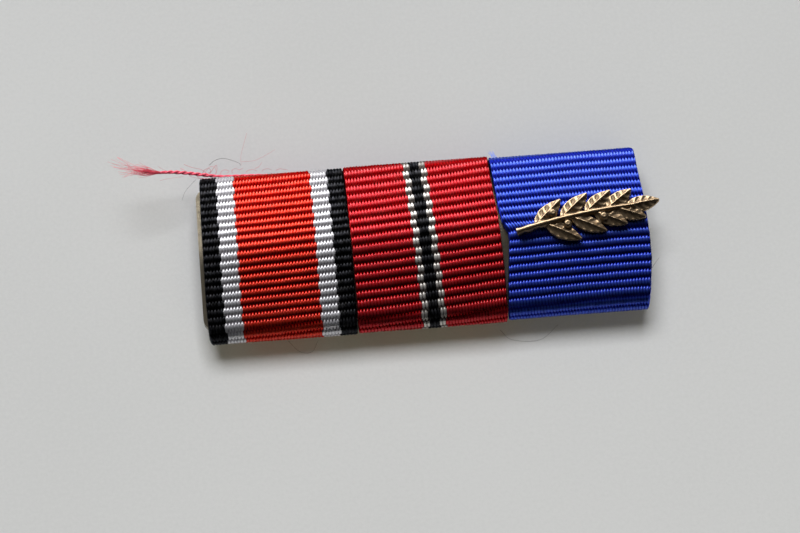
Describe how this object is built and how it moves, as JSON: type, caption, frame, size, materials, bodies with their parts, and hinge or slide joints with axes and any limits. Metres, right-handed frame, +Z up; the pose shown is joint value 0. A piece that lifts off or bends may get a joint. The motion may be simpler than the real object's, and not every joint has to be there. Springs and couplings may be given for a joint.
{
  "type": "ribbon bar",
  "caption": "Bar of striped ribbed ribbons wrapped side by side over a bent metal plate, with a cast leaf sprig on the front and a pin on the back.",
  "frame": {"origin": "on the surface that the bar lies on, under the middle of its box", "axes": "+X along the bar towards the ribbon with the leaf sprig, +Y towards the bar's top edge, +Z up out of its face"},
  "size_m": [0.0474, 0.0188, 0.0071],
  "materials": {
    "plate": "dull khaki-grey steel with worn bright corners",
    "ribbon_left": "ribbed silk, orange-red with black and white edge stripes",
    "ribbon_middle": "ribbed silk, crimson with a black centre stripe between two cream ones",
    "ribbon_right": "ribbed silk, plain cornflower blue",
    "sprig": "antique bronze, dark in its hollows",
    "pin": "plain dull steel"
  },
  "bodies": {
    "root": {"back_plate": "plate", "ribbon_left": "ribbon_left", "ribbon_middle": "ribbon_middle", "ribbon_right": "ribbon_right", "leaf_sprig": "sprig", "pin_back": "pin"}
  },
  "joints": []
}
